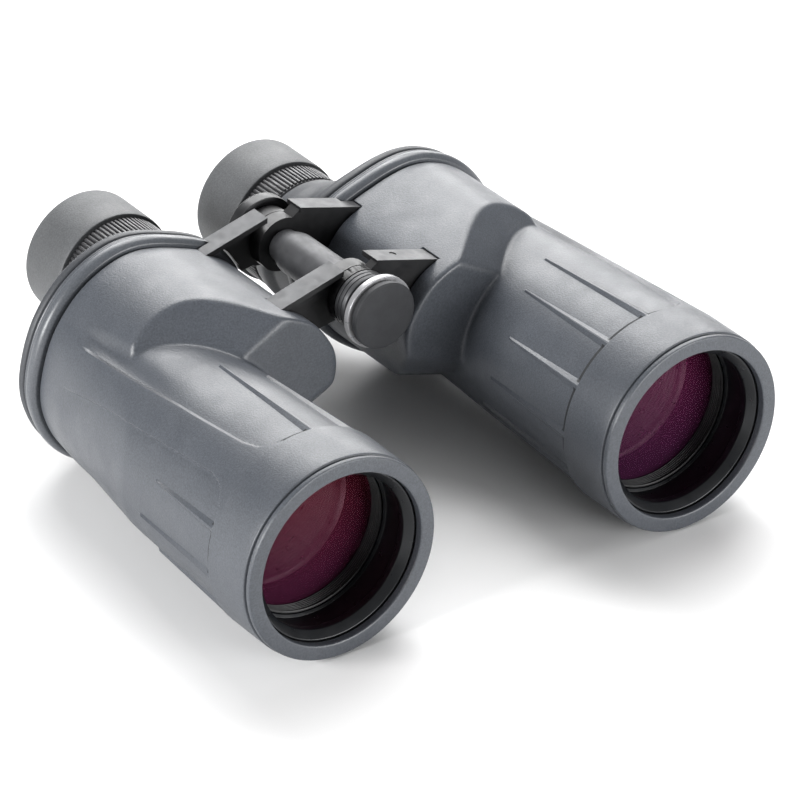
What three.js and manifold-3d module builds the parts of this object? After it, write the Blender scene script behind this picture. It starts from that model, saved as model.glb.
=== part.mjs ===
// Binoculars, 7 x 50, rubber-armoured, with Porro prisms and individually focused eyepieces.
// Units are millimetres. The model is laid out in the hinge frame: the hinge axis runs along Y at
// x = 0, z = 0, and y is the distance behind the objective rims. The last group moves that frame so
// that the origin is at the middle of the footprint, with Z up.
import * as THREE from 'three';
import { mergeVertices } from 'three/addons/utils/BufferGeometryUtils.js';
import Module from 'manifold-3d';

const wasm = await Module();
wasm.setup();

// ---- driving dimensions ------------------------------------------------------------------------
const totalLength = 191;                     // objective rim to the rear edge of the eyecup
const gap = 0.3;                             // clearance kept between two touching pieces
const objective = { x: 64.2, z: -28.1 };     // optical axis of the objective
const eyepiece = { x: 32.4, z: -22 };        // optical axis of the eyepiece

const rimRadius = 32.8;                      // hood at the objective rim
const hoodRadius = 33.2;                     // hood at its rear edge
const hoodLength = 20;
const rimOpening = 27.8;                     // radius of the hole in the rubber rim
const rimDepth = 2.4;                        // thickness of the rim over the casting
const barrelFront = 32.8;                    // armour radius just behind the hood
const barrelTaper = 0.0506;                  // loss of radius per millimetre of barrel
const taperStart = 53;                       // where the outer side starts narrowing to the housing
const barrelStations = [50, 77, 95, 112];    // sections of the barrel along its length
const barrelSides = 32;                      // facets round the barrel and the objective
const rubber = 2.2;                          // thickness of the rubber armour
const wall = 2.2;                            // thickness of the cast body
const housingFront = 76.3;                   // flat front face of the prism housing
const seam = 129.2;                          // rear edge of the armour

const cellRadius = 27.6;                     // objective cell, outside
const cellSides = 24;
const lipRadius = 24.9;                      // clear opening of the cell's front lip
const lensRadius = 25.7;                     // objective lenses
const prismHalf = 20.7;                      // half length of a prism's long face
const prismWidth = 10.7;                     // half width of a prism
const prismHeight = 19.6;                    // long face to the flattened ridge
const shelfFront = 104;                      // front face of the prism shelf
const shelfThickness = 1.8;

const ringFront = 160;                       // knurled focus ring
const ringRear = 171;
const ringRadius = 19.9;
const ringTeeth = 30;
const cupRadius = 21.1;                      // eyecup at its rear edge
const tubeRadius = 17.4;                     // fixed eyepiece tube, outside
const tubeFront = 146;
const tubeRear = 168.6;
const ocularRadius = 15.8;                   // sliding eyepiece barrel, outside

const axleRadius = 4.5;
const hubRadius = 9.6;
const rearHubRadius = 9.05;
const armTop = 12.55;                        // height of an arm's top plate above the hinge axis
const armSlope = 15.5 * Math.PI / 180;       // fall of the top plate away from the hinge
const armInner = 6.2;                        // where the top plates start, off the hinge axis
const plateThickness = 1.8;
const armReach = 38;                         // how far the arms run before they are trimmed
const hingeTubeRadius = 7;

const centre = { x: 0, z: 0 };               // the hinge axis

// ---- geometry helpers --------------------------------------------------------------------------
function flip(geometry) {
  const index = geometry.index.array;
  for (let i = 0; i < index.length; i += 3) {
    [index[i], index[i + 1]] = [index[i + 1], index[i]];
  }
  return geometry;
}

function signedVolume(geometry) {
  const p = geometry.attributes.position;
  const index = geometry.index.array;
  const [a, b, c] = [new THREE.Vector3(), new THREE.Vector3(), new THREE.Vector3()];
  let sum = 0;
  for (let i = 0; i < index.length; i += 3) {
    a.fromBufferAttribute(p, index[i]);
    b.fromBufferAttribute(p, index[i + 1]);
    c.fromBufferAttribute(p, index[i + 2]);
    sum += a.dot(b.cross(c));
  }
  return sum / 6;
}

// A closed geometry with merged corners and its faces pointing out.
function closed(geometry) {
  geometry.deleteAttribute('normal');
  geometry.deleteAttribute('uv');
  const merged = mergeVertices(geometry, 1e-4);
  return signedVolume(merged) < 0 ? flip(merged) : merged;
}

function solid(geometry) {
  const merged = closed(geometry);
  return new wasm.Manifold(new wasm.Mesh({
    numProp: 3,
    vertProperties: new Float32Array(merged.attributes.position.array),
    triVerts: new Uint32Array(merged.index.array),
  }));
}

const join = (first, ...rest) => rest.reduce((sum, piece) => sum.add(piece), first);
const cut = (first, ...rest) => rest.reduce((sum, piece) => sum.subtract(piece), first);

function surface(manifold) {
  const mesh = manifold.getMesh();
  const geometry = new THREE.BufferGeometry();
  geometry.setAttribute('position', new THREE.BufferAttribute(mesh.vertProperties, 3));
  geometry.setIndex(new THREE.BufferAttribute(mesh.triVerts, 1));
  return geometry;
}

// A solid of revolution about an axis parallel to Y. The profile is [radius, y] pairs.
function turned(profile, axis, sides = 20) {
  const points = profile.map(([r, y]) => new THREE.Vector2(r, y));
  const [first, last] = [points[0], points[points.length - 1]];
  if (first.x > 0 || last.x > 0) points.push(first.clone());
  const geometry = new THREE.LatheGeometry(points, sides);
  geometry.translate(axis.x, 0, axis.z);
  return solid(geometry);
}

const disc = (r, y0, y1, axis, sides) => turned([[0, y0], [r, y0], [r, y1], [0, y1]], axis, sides);
const ring = (r0, r1, y0, y1, axis, sides) =>
  turned([[r0, y0], [r1, y0], [r1, y1], [r0, y1]], axis, sides);

// A prism with an outline in the XZ plane, between y0 and y1.
function slab(outline, y0, y1) {
  const shape = new THREE.Shape(outline.map((p) => new THREE.Vector2(p.x, p.y)));
  const geometry = new THREE.ExtrudeGeometry(shape, { depth: y1 - y0, bevelEnabled: false });
  geometry.rotateX(Math.PI / 2);
  geometry.translate(0, y1, 0);
  return solid(geometry);
}

const polygon = (pairs) => pairs.map(([x, z]) => new THREE.Vector2(x, z));

// A solid through closed rings of equal length; capped at both ends, or closed on itself.
function loft(rings, looped = false) {
  const count = rings[0].length;
  const positions = rings.flat().flatMap((p) => [p.x, p.y, p.z]);
  const index = [];
  const spans = looped ? rings.length : rings.length - 1;
  for (let i = 0; i < spans; i += 1) {
    const [near, far] = [i * count, ((i + 1) % rings.length) * count];
    for (let j = 0; j < count; j += 1) {
      const k = (j + 1) % count;
      index.push(near + j, near + k, far + k, near + j, far + k, far + j);
    }
  }
  if (!looped) {
    [[rings[0], 0, true], [rings[rings.length - 1], (rings.length - 1) * count, false]].forEach(
      ([points, start, front]) => {
        const centre = points.reduce((sum, p) => sum.add(p), new THREE.Vector3()).divideScalar(count);
        const hub = positions.length / 3;
        positions.push(centre.x, centre.y, centre.z);
        for (let j = 0; j < count; j += 1) {
          const [a, b] = [start + j, start + ((j + 1) % count)];
          index.push(...(front ? [hub, b, a] : [hub, a, b]));
        }
      },
    );
  }
  const geometry = new THREE.BufferGeometry();
  geometry.setAttribute('position', new THREE.Float32BufferAttribute(positions, 3));
  geometry.setIndex(index);
  return solid(geometry);
}

// Everything on the outer side of a plane, as a very large box.
function beyond(point, normal, inset = 0) {
  const n = new THREE.Vector3(...normal).normalize();
  const size = 400;
  const geometry = new THREE.BoxGeometry(size, size, size);
  geometry.translate(0, 0, size / 2 - inset);
  geometry.applyQuaternion(new THREE.Quaternion().setFromUnitVectors(new THREE.Vector3(0, 0, 1), n));
  geometry.translate(...point);
  return solid(geometry);
}

// ---- prism housing -----------------------------------------------------------------------------
// Half of the housing's outline seen along the optical axis: inner end, over the top, outer side
// and underneath.
const housingKeys = polygon([
  [13, -13], [16.6, -5.2], [22, 1.2], [28.8, 5], [36, 7.7], [44, 10.2], [52, 11.3], [60, 10],
  [69, 5.6], [76.5, -1.2], [82.6, -11], [86.2, -24.6], [85.6, -35], [80.8, -46], [72.5, -54.2],
  [62, -57.6], [50, -56], [38, -51], [27, -43.5], [18.5, -34], [14, -23.5],
]);
const outlinePoints = 36;
const housingCurve = new THREE.CatmullRomCurve3(
  housingKeys.map((p) => new THREE.Vector3(p.x, 0, p.y)), true, 'centripetal');
const housingOutline = housingCurve.getSpacedPoints(outlinePoints).slice(0, outlinePoints)
  .map((p) => new THREE.Vector2(p.x, p.z));

// The outline moved inwards by a distance, square to itself.
function inset(outline, distance) {
  return outline.map((p, i) => {
    const before = outline[(i + outline.length - 1) % outline.length];
    const after = outline[(i + 1) % outline.length];
    const along = after.clone().sub(before).normalize();
    return new THREE.Vector2(p.x + along.y * distance, p.y - along.x * distance);
  });
}

// The housing block: its outline, run forward from the rear, with the shoulder sloping down to the
// barrel, the chamfer under its inner end and the slope of its underside.
function housingBlock(depth, rear) {
  const block = slab(inset(housingOutline, depth), housingFront + depth, rear);
  return cut(
    block,
    beyond([50, 80.1, 0], [0.57, -1, 1.03], depth),
    beyond([0, 61.5, 0], [-0.374, -1, -0.92], depth),
    beyond([0, 30, 0], [-0.3, -0.5, -1], depth),
  );
}

const barrelRadius = (y) => barrelFront - barrelTaper * (y - hoodLength);

// Distance from the objective axis to the housing's outline in one direction.
function outlineReach(angle) {
  const [dx, dz] = [Math.cos(angle), Math.sin(angle)];
  const reaches = housingOutline.map((a, i) => {
    const b = housingOutline[(i + 1) % housingOutline.length];
    const [ax, az, ex, ez] = [a.x - objective.x, a.y - objective.z, b.x - a.x, b.y - a.y];
    const turn = dx * ez - dz * ex;
    const along = (ax * ez - az * ex) / turn;
    const share = (ax * dz - az * dx) / turn;
    return share >= 0 && share <= 1 && along > 0 ? along : 0;
  });
  return Math.max(...reaches);
}

// The barrel is round at the hood, and on its outer side it narrows to the housing's outline at
// the seam.
function barrelRing(y, depth) {
  const narrowing = THREE.MathUtils.clamp((y - taperStart) / (seam - taperStart), 0, 1);
  return Array.from({ length: barrelSides }, (_, i) => {
    const angle = i / barrelSides * 2 * Math.PI;
    const faired = THREE.MathUtils.lerp(hoodRadius, outlineReach(angle), narrowing);
    const radius = Math.min(barrelRadius(y), faired, barrelFront) - depth;
    const [dx, dz] = [radius * Math.cos(angle), radius * Math.sin(angle)];
    return new THREE.Vector3(objective.x + dx, y, objective.z + dz);
  });
}

function barrelCore(depth, front, rear) {
  const stations = [front, ...barrelStations, rear];
  return loft(stations.map((y) => barrelRing(y, depth)));
}

function castingOutside(depth) {
  const skin = rubber + depth;
  return join(barrelCore(skin, rimDepth + depth, seam + 1), housingBlock(skin, seam + 1));
}

// The rubber hood round the objective, with the rim that turns in over the front of the casting.
function objectiveHood() {
  const outside = turned([
    [0, 0], [rimRadius - 0.8, 0], [rimRadius, 1.2], [hoodRadius, hoodLength], [0, hoodLength],
  ], objective, barrelSides);
  const opening = turned([
    [0, -1], [rimOpening + 0.6, -1], [rimOpening + 0.6, 0], [rimOpening, 0.7], [rimOpening, 3], [0, 3],
  ], objective, barrelSides);
  return cut(outside, castingOutside(0), opening);
}

function rubberArmour() {
  const outside = join(barrelCore(0, hoodLength + gap, seam), housingBlock(0, seam));
  return cut(outside, castingOutside(0), armCutter('front'), armCutter('rear'));
}

function bodyCasting() {
  const skin = rubber + gap + wall;
  const bore = disc(cellRadius + gap, 1, 34, objective, barrelSides);
  const rough = castingOutside(gap).subtract(beyond([0, seam - 0.2, 0], [0, 1, 0]));
  return cut(rough, bore, barrelCore(skin, 33.9, seam + 5), housingBlock(skin, seam + 5));
}

// ---- rear cover and its bead -------------------------------------------------------------------
// An outline drawn towards a circle about the eyepiece axis, but never inside a least distance.
function aboutEyepiece(outline, radius, blend, least) {
  return outline.map((p) => {
    const away = new THREE.Vector2(p.x - eyepiece.x, p.y - eyepiece.z);
    away.setLength(Math.max(THREE.MathUtils.lerp(away.length(), radius, blend), least));
    return new THREE.Vector2(eyepiece.x + away.x, eyepiece.z + away.y);
  });
}

// Sections of the cover's dome: [y, inset, radius of the boss, how far it has become round, least
// distance from the eyepiece axis].
const coverSections = [
  [seam + gap, 1.5, 24, 0, 0], [135.6, 1.4, 24, 0, 0], [135.8, -1.3, 24, 0, 18.9], [139, -1.4, 24, 0, 18.9],
  [143, 1, 24, 0.12, 19.2], [148, 5.4, 23.2, 0.52, 19.3], [153, 8, 21.6, 0.92, 19.3], [158.6, 8, 19.8, 1, 0],
];
// Sections of the hollow under it, in the same order.
const coverHollow = [
  [seam, 3.7, 22, 0, 16.4], [135.5, 4.2, 22, 0, 16.4], [141, 9, 22, 0.3, 16.9], [147, 10, 20.4, 0.92, 17.2],
  [156.5, 10, 18.2, 1, 0],
];

function coverLoft(sections) {
  return loft(sections.map(([y, insetBy, radius, blend, least]) => {
    const drawn = aboutEyepiece(inset(housingOutline, insetBy), radius, blend, least);
    return drawn.map((p) => new THREE.Vector3(p.x, y, p.y));
  }));
}

function rearCover() {
  const bore = disc(tubeRadius + gap, tubeFront - gap, 165, eyepiece);
  return cut(coverLoft(coverSections), coverLoft(coverHollow), bore);
}

function coverBead() {
  const section = [
    [1.1, 129.6], [-0.9, 129.6], [-2.3, 131.2], [-2.4, 133.6], [-0.9, 135.3], [0.8, 135.3], [1.1, 134.5],
  ];
  const rings = section.map(([depth, y]) =>
    inset(housingOutline, depth).map((p) => new THREE.Vector3(p.x, y, p.y)));
  return loft(rings, true);
}

// ---- objective ---------------------------------------------------------------------------------
// The cell has a chamfered lip in front, a wider stretch behind it that traps stray light, the
// seat of the lenses, and a groove outside for the seal.
function objectiveCell() {
  const [grooveFront, grooveRear] = [20, 21.6];
  return turned([
    [cellRadius, 2.8], [cellRadius, grooveFront], [cellRadius - 0.9, grooveFront],
    [cellRadius - 0.9, grooveRear], [cellRadius, grooveRear], [cellRadius, 33.6],
    [24.6, 33.6], [24.6, 32.4], [lensRadius + gap, 32.4], [lensRadius + gap, 16.2],
    [26.7, 16.2], [26.7, 8], [lipRadius, 7.4], [lipRadius, 5.2], [27.2, 2.8],
  ], objective, cellSides);
}

const sag = (radius, height) => radius - Math.sqrt(radius * radius - height * height);

// A lens between two spherical faces; a positive radius bulges forwards, a negative one backwards.
function lens(rim, frontAt, frontRadius, rearAt, rearRadius, axis, sides = 20) {
  const steps = 2;
  const face = (at, radius) => Array.from({ length: steps + 1 }, (_, i) => {
    const h = rim * i / steps;
    return [h, at + Math.sign(radius) * sag(Math.abs(radius), h)];
  });
  return turned([...face(frontAt, frontRadius), ...face(rearAt, rearRadius).reverse()], axis, sides);
}

const crownLens = () => lens(lensRadius - 0.3, 18.8, 110, 26.6, -95, objective, cellSides);
const flintLens = () => lens(lensRadius - 0.3, 27, -95, 31.2, -400, objective, cellSides);
const objectiveRetainer = () => ring(24.7, lensRadius - 0.3, 16.4, 18.4, objective, cellSides);
const objectiveSeal = () => ring(cellRadius - 0.6, cellRadius, 20.3, 21.3, objective, cellSides);

// ---- prisms ------------------------------------------------------------------------------------
const offset = new THREE.Vector2(objective.x - eyepiece.x, objective.z - eyepiece.z);
const folded = {
  x: eyepiece.x + (offset.x - offset.y) / 2,
  z: eyepiece.z + (offset.x + offset.y) / 2,
};

// Frame of a prism: its middle, and the directions along and across its long face.
function prismFrame(from, to) {
  const along = new THREE.Vector2(to.x - from.x, to.z - from.z).normalize();
  return {
    middle: new THREE.Vector2((from.x + to.x) / 2, (from.z + to.z) / 2),
    angle: Math.atan2(along.y, along.x),
  };
}

// An extrusion of a profile in the plane of the long face and Y, placed on a prism's frame.
function acrossPrism(profile, halfWidth, { middle, angle }) {
  const shape = new THREE.Shape(profile.map(([u, y]) => new THREE.Vector2(u, y)));
  const geometry = new THREE.ExtrudeGeometry(shape, { depth: 2 * halfWidth, bevelEnabled: false });
  geometry.translate(0, 0, -halfWidth);
  geometry.rotateY(-angle);
  geometry.translate(middle.x, 0, middle.y);
  return solid(geometry);
}

function porroPrism(base, towards, frame) {
  const ridge = prismHalf - prismHeight + 1.4;
  return acrossPrism([
    [-prismHalf, base], [prismHalf, base], [prismHalf, base + towards * 1.6],
    [ridge, base + towards * prismHeight], [-ridge, base + towards * prismHeight],
    [-prismHalf, base + towards * 1.6],
  ], prismWidth, frame);
}

// A spring strap over a prism's ridge, with its two feet on the shelf.
function prismClip(base, towards, frame) {
  const ridge = prismHalf - prismHeight + 1.4;
  const y = (height) => base + towards * height;
  const strap = 0.7;
  const half = ridge + 6;
  const drop = prismHeight - 6;
  return acrossPrism([
    [-half - 1.2, y(drop)], [-ridge - 0.3, y(prismHeight + gap)], [ridge + 0.3, y(prismHeight + gap)],
    [half + 1.2, y(drop)], [half + 2.1, y(drop + 0.5)], [ridge + 0.8, y(prismHeight + gap + strap)],
    [-ridge - 0.8, y(prismHeight + gap + strap)], [-half - 2.1, y(drop + 0.5)],
  ], 3.5, frame);
}

const frontFrame = prismFrame(eyepiece, folded);
const rearFrame = prismFrame(folded, objective);
const frontPrismBase = shelfFront - gap;
const rearPrismBase = shelfFront + shelfThickness + gap;

function prismShelf() {
  const depth = rubber + gap + wall + gap;
  const plate = slab(inset(housingOutline, depth), shelfFront, shelfFront + shelfThickness);
  const fitted = plate.intersect(housingBlock(depth, shelfFront + 5));
  return cut(fitted, ...[eyepiece, folded, objective].map((axis) =>
    disc(9.4, shelfFront - 1, shelfFront + 5, axis, 32)));
}

// ---- eyepiece ----------------------------------------------------------------------------------
const eyepieceTube = () => ring(tubeRadius - 1.3, tubeRadius, tubeFront, tubeRear, eyepiece);

const ocularCell = () => turned([
  [ocularRadius, 139], [ocularRadius, 176], [14.7, 176], [14.7, 147], [12.6, 147], [12.6, 145.4],
  [14.7, 145.4], [14.7, 139],
], eyepiece);

const fieldLens = () => lens(14.3, 139.6, 60, 144.6, -60, eyepiece);
const eyeLens = () => lens(14.3, 168.6, 48, 174, -160, eyepiece);
const eyeLensRing = () => turned(
  [[14.4, 175.1], [14.4, 176.6], [16.4, 176.6], [16.4, 178], [12.6, 178], [12.6, 175.1]], eyepiece);

function focusRing() {
  const depth = 0.75;
  const toothed = Array.from({ length: ringTeeth * 4 }, (_, i) => {
    const angle = i / (ringTeeth * 4) * 2 * Math.PI;
    const radius = i % 4 < 2 ? ringRadius : ringRadius - depth;
    return new THREE.Vector2(eyepiece.x + radius * Math.cos(angle), eyepiece.z + radius * Math.sin(angle));
  });
  const knurl = slab(toothed, ringFront + 0.6, ringRear - 0.6);
  const band = disc(ringRadius - depth, ringFront, ringRear, eyepiece);
  const floor = ring(ocularRadius + gap, tubeRadius + 1.5, ringRear - 1.2, ringRear, eyepiece);
  const bore = disc(tubeRadius + gap, ringFront - 1, ringRear + 1, eyepiece);
  return join(cut(join(knurl, band), bore), floor);
}

const eyecup = () => turned([
  [cupRadius - 2, ringRear + gap], [cupRadius - 0.4, ringRear + 0.6], [cupRadius - 0.1, ringRear + 1.6],
  [cupRadius, totalLength - 1], [cupRadius - 0.4, totalLength - 0.2], [cupRadius - 1, totalLength],
  [cupRadius - 1.7, totalLength - 0.6], [cupRadius - 2, totalLength - 2], [cupRadius - 3, ringRear + 9],
  [16.9, ringRear + 8.4], [16.9, ringRear + 4], [tubeRadius + 1.8, ringRear + 4],
  [tubeRadius + 1.8, ringRear + gap],
], eyepiece);

// ---- hinge -------------------------------------------------------------------------------------
// Each arm: its top plate from y0 to y1, and the hub and web that carry it, from hub0 to hub1. The
// two halves' hubs lie one behind the other on the axle.
const arms = {
  front: { y0: 83.5, y1: 91.4, radius: hubRadius },
  rear: { y0: 124.5, y1: 131.9, radius: rearHubRadius },
};
const hubs = {
  left: { front: [83.6, 86.8], rear: [125, 130] },
  right: { front: [87.1, 92.3], rear: [130.3, 134.7] },
};
const plateHeight = (x) => (armTop - x * Math.sin(armSlope)) / Math.cos(armSlope);

function platePolygon(reach, grow) {
  const under = (x) => plateHeight(x) - plateThickness - grow;
  return polygon([
    [armInner - grow, plateHeight(armInner) + grow], [armInner - grow, under(armInner)],
    [reach, under(reach)], [reach, plateHeight(reach) + grow],
  ]);
}

function webPolygon(reach, grow) {
  const under = (x) => plateHeight(x) - plateThickness / 2;
  return polygon([
    [0, 6], [armInner, under(armInner)], [reach, under(reach)],
    [reach, -9 - grow], [16, -9 - grow], [0, -6],
  ]);
}

const webSpan = (which, [hub0, hub1]) =>
  [Math.max(hub0, arms[which].y0 + 0.1), Math.min(hub1, arms[which].y1)];

function hingeArm(which, span, tapped) {
  const { y0, y1, radius } = arms[which];
  const whole = join(
    slab(platePolygon(armReach, 0), y0, y1),
    slab(webPolygon(armReach, 0), ...webSpan(which, span)),
    disc(radius, ...span, centre),
  );
  const bore = disc(axleRadius + gap, 70, 140, centre);
  const trimmed = cut(whole, bore, castingOutside(0), coverKeepOut());
  return tapped ? cut(trimmed, screwPocket()) : trimmed;
}

// The slot that an arm passes through in the rubber, on whichever half it is.
function armCutter(which) {
  const { y0, y1 } = arms[which];
  return join(
    slab(platePolygon(armReach, gap), y0 - gap, y1 + gap),
    slab(webPolygon(armReach, gap), y0 - gap, y1 + gap),
  );
}

// Room taken behind the armour by the bead and the cover, which the rear arms stop short of.
const coverKeepOut = () => slab(inset(housingOutline, -2.9), seam, 140);

// The set screw, which only the left half's front arm has.
const armScrew = { x: 15.5, y: 88.4, radius: 0.9, depth: 1.2 };

// A small cylinder square to the front arm's plate; its ends lie below and above the plate's top.
function screwCylinder(radius, bottom, top) {
  const { x, y } = armScrew;
  const geometry = new THREE.CylinderGeometry(radius, radius, top - bottom, 12);
  geometry.rotateX(Math.PI / 2);
  geometry.rotateY(armSlope);
  geometry.translate(x, y, plateHeight(x) + (top + bottom) / 2);
  return solid(geometry);
}

const screwPocket = () => screwCylinder(armScrew.radius + gap, -armScrew.depth, 1);
const setScrew = () => screwCylinder(armScrew.radius, gap - armScrew.depth, -0.3);

const hingeTube = () => turned([
  [axleRadius + gap, 92.6], [hingeTubeRadius + 0.4, 92.6], [hingeTubeRadius, 94], [hingeTubeRadius, 119.5],
  [hingeTubeRadius - 0.5, 121.2], [hingeTubeRadius - 1.6, 122.2], [hingeTubeRadius - 1.6, 124.7],
  [axleRadius + gap, 124.7],
], centre);
const hingeAxle = () => disc(axleRadius, 92, 137.4, centre);
const hingeCollar = () => ring(axleRadius + 1.8, hubRadius, 78.5, 83.3, centre);
const frontWasher = () => ring(axleRadius + 1.8, 8.2, 75.6, 78.2, centre);
const tripodSocket = () => turned([
  [3.4, 73.1], [7, 73.1], [7, 74.2], [9, 74.2], [9, 73.1], [11.86, 73.1], [11.86, 75.2],
  [6, 75.3], [6, 83.3], [4.2, 83.3], [4.2, 91.6], [3.4, 91.6],
], centre);
const socketCap = () => turned([
  [0, 70.2], [10.4, 70.2], [10.92, 70.6], [10.92, 72.4], [10.3, 72.7],
  [3.05, 72.7], [3.05, 81], [2.5, 81.6], [0, 81.6],
], centre);
const capSeal = () => turned([[7.4, 73], [8.6, 73], [8.6, 73.9], [7.4, 73.9]], centre);
const rearWasher = () => ring(axleRadius + gap, 8.4, 135, 135.9, centre);
const rearNut = () => turned([
  [axleRadius + gap, 136.2], [9, 136.2], [10.2, 135.1], [11.6, 135.1], [11.6, 139.2],
  [11, 139.8], [0, 139.8], [0, 137.7], [axleRadius + gap, 137.7],
], centre);

// ---- materials ---------------------------------------------------------------------------------
const finish = (color, roughness, metalness, more = {}) => ({ color, roughness, metalness, ...more });
const finishes = {
  rubber: finish(0x55585e, 0.75, 0),
  beadRubber: finish(0x44474c, 0.6, 0),
  cupRubber: finish(0x6a6c70, 0.8, 0),
  blackMetal: finish(0x1c1d20, 0.45, 0.6),
  casting: finish(0x8a8c8f, 0.5, 0.8),
  steel: finish(0xb4b6b8, 0.3, 1),
  glass: finish(0x4a1830, 0.05, 0, { transparent: true, opacity: 0.5 }),
  clearGlass: finish(0xdfe8ea, 0.05, 0, { transparent: true, opacity: 0.4 }),
  seal: finish(0x151515, 0.8, 0),
};

// ---- assembly ----------------------------------------------------------------------------------
const binoculars = new THREE.Group();
binoculars.position.set(0, -totalLength / 2, hoodRadius - objective.z);

function add(name, piece, look, mirrored = false) {
  const geometry = surface(piece);
  if (mirrored) {
    geometry.scale(-1, 1, 1);
    flip(geometry);
  }
  const mesh = new THREE.Mesh(geometry, new THREE.MeshStandardMaterial(finishes[look]));
  mesh.name = name;
  binoculars.add(mesh);
}

// Pieces that both halves have, built for the half on +X, which is the user's left.
const halfPieces = [
  ['objective_hood', objectiveHood(), 'rubber'],
  ['rubber_armour', rubberArmour(), 'rubber'],
  ['body_casting', bodyCasting(), 'casting'],
  ['rear_cover', rearCover(), 'rubber'],
  ['cover_bead', coverBead(), 'beadRubber'],
  ['objective_cell', objectiveCell(), 'blackMetal'],
  ['objective_crown_lens', crownLens(), 'glass'],
  ['objective_flint_lens', flintLens(), 'glass'],
  ['objective_retaining_ring', objectiveRetainer(), 'blackMetal'],
  ['objective_o_ring', objectiveSeal(), 'seal'],
  ['front_prism', porroPrism(frontPrismBase, -1, frontFrame), 'clearGlass'],
  ['rear_prism', porroPrism(rearPrismBase, 1, rearFrame), 'clearGlass'],
  ['front_prism_clip', prismClip(frontPrismBase, -1, frontFrame), 'steel'],
  ['rear_prism_clip', prismClip(rearPrismBase, 1, rearFrame), 'steel'],
  ['prism_shelf', prismShelf(), 'casting'],
  ['eyepiece_tube', eyepieceTube(), 'blackMetal'],
  ['ocular_cell', ocularCell(), 'blackMetal'],
  ['field_lens', fieldLens(), 'clearGlass'],
  ['eye_lens', eyeLens(), 'clearGlass'],
  ['eye_lens_ring', eyeLensRing(), 'blackMetal'],
  ['focus_ring', focusRing(), 'blackMetal'],
  ['eyecup', eyecup(), 'cupRubber'],
];

['left', 'right'].forEach((half) => {
  const mirrored = half === 'right';
  halfPieces.forEach(([name, piece, look]) => add(`${name}_${half}`, piece, look, mirrored));
  ['front', 'rear'].forEach((which) => {
    const tapped = which === 'front' && half === 'left';
    add(`${which}_hinge_arm_${half}`, hingeArm(which, hubs[half][which], tapped), 'blackMetal', mirrored);
  });
});

add('arm_set_screw', setScrew(), 'steel');
add('hinge_tube', hingeTube(), 'blackMetal');
add('hinge_axle', hingeAxle(), 'steel');
add('hinge_collar', hingeCollar(), 'blackMetal');
add('front_washer', frontWasher(), 'blackMetal');
add('tripod_socket', tripodSocket(), 'steel');
add('socket_cap', socketCap(), 'blackMetal');
add('cap_o_ring', capSeal(), 'seal');
add('rear_washer', rearWasher(), 'steel');
add('rear_nut', rearNut(), 'blackMetal');

export default binoculars;
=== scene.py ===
"""Binoculars, 7 x 50, rubber-armoured: the looks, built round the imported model.

The scene is in metres, +Z up, and the binoculars look towards -Y. Plain numbers in the profiles and
lists below are in mm and degrees. The layout frame used below has its origin on the hinge axis at
the objective rims, so y is the distance behind the rims. Pieces are shaped for the half on +X, which
is the user's left, and mirrored for the other one.
"""

import math

import bmesh
import bpy
import numpy as np
from mathutils import Matrix, Vector


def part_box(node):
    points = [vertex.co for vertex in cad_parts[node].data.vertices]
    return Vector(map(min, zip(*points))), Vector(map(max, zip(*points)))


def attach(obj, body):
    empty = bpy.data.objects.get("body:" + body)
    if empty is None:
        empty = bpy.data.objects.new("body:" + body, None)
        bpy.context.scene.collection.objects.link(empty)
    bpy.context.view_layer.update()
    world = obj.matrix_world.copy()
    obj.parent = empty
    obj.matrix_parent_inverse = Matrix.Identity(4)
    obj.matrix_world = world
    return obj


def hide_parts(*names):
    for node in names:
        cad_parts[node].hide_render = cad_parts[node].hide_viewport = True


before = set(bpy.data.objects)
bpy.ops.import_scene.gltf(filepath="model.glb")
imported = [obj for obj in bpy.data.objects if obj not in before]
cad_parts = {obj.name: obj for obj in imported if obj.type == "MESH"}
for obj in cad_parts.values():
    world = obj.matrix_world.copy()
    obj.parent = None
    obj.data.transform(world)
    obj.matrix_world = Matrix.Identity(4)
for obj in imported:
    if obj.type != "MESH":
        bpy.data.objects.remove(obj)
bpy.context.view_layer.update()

MM = 0.001
HALVES = ("left", "right")


def axis_of(node):
    """x and z of the middle of a node, in the row frame."""
    low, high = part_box(node)
    return np.array([(low.x + high.x) / 2, (low.z + high.z) / 2])


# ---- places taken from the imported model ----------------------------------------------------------
HINGE = axis_of("hinge_tube")
RIM_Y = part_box("objective_hood_left")[0].y
ORIGIN = np.array([HINGE[0], RIM_Y, HINGE[1]])
OBJECTIVE = axis_of("objective_cell_left") - HINGE
EYEPIECE = axis_of("eyepiece_tube_left") - HINGE
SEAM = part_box("rubber_armour_left")[1].y - RIM_Y
HOOD_RADIUS = (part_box("objective_hood_left")[1].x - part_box("objective_hood_left")[0].x) / 2
HOOD_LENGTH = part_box("objective_hood_left")[1].y - RIM_Y
RING_RADIUS = (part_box("focus_ring_left")[1].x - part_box("focus_ring_left")[0].x) / 2
CUP_RADIUS = (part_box("eyecup_left")[1].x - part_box("eyecup_left")[0].x) / 2

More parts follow.
